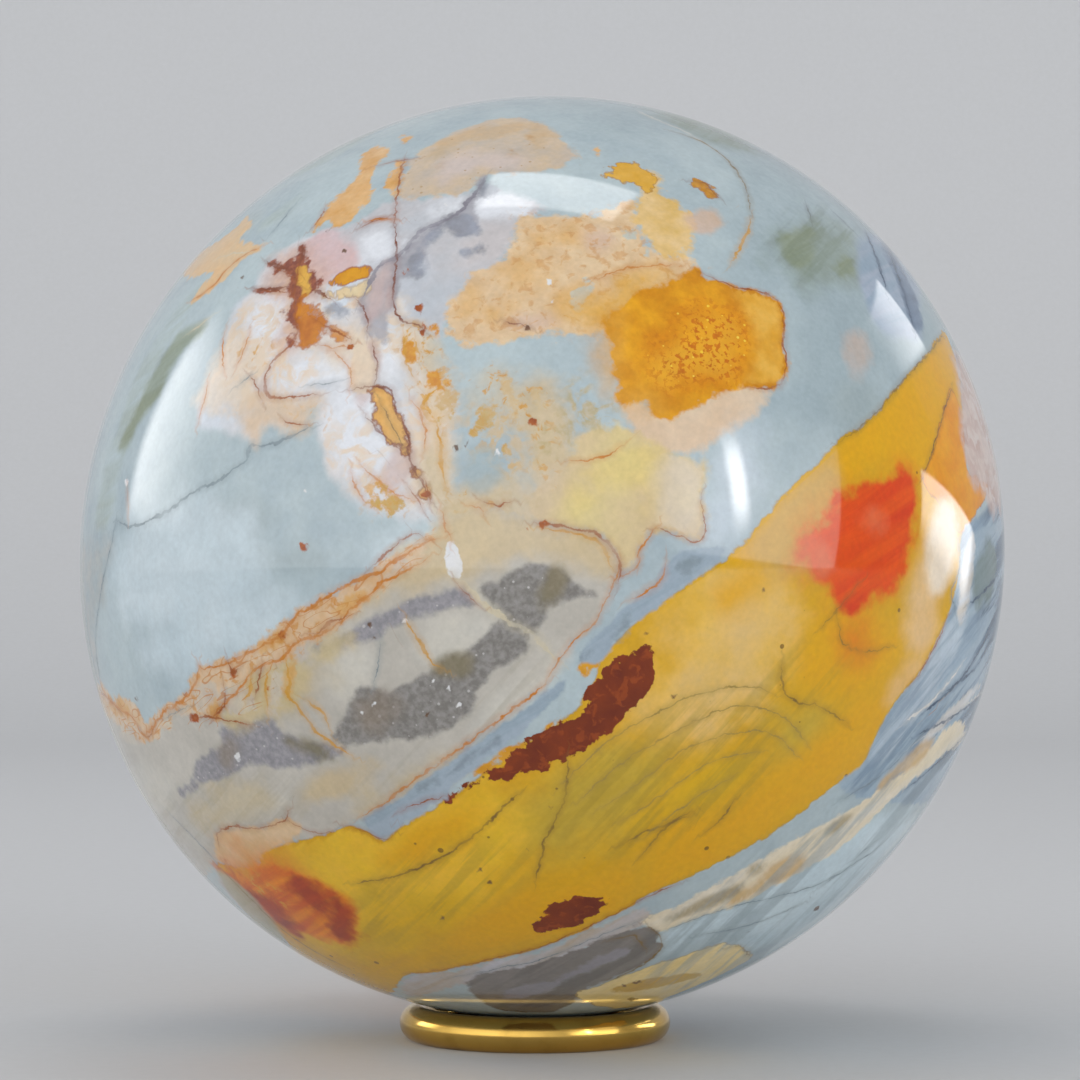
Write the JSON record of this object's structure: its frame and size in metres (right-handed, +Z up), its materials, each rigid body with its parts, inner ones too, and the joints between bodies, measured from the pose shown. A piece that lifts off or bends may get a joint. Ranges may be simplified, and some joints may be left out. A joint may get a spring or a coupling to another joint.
{
  "type": "stone sphere on ring stand",
  "caption": "Polished jasper ball resting in a low solid brass ring stand, lifting straight off the ring.",
  "frame": {"origin": "centre of the ring stand, on the surface that it stands on", "axes": "+Z up through the ring and the ball, +Y away from the viewer of the picture, +X to that viewer's right"},
  "size_m": [0.1502, 0.1488, 0.1534],
  "materials": {
    "polished_brass": "polished",
    "polished_jasper": "polished"
  },
  "bodies": {
    "stand": {"brass_ring": "polished_brass"},
    "sphere": {"jasper_sphere": "polished_jasper"}
  },
  "joints": [
    {"name": "sphere_lift", "type": "slide", "parent": "stand", "child": "sphere", "axis": [0, 0, 1], "range_m": [0, 0.05]}
  ]
}
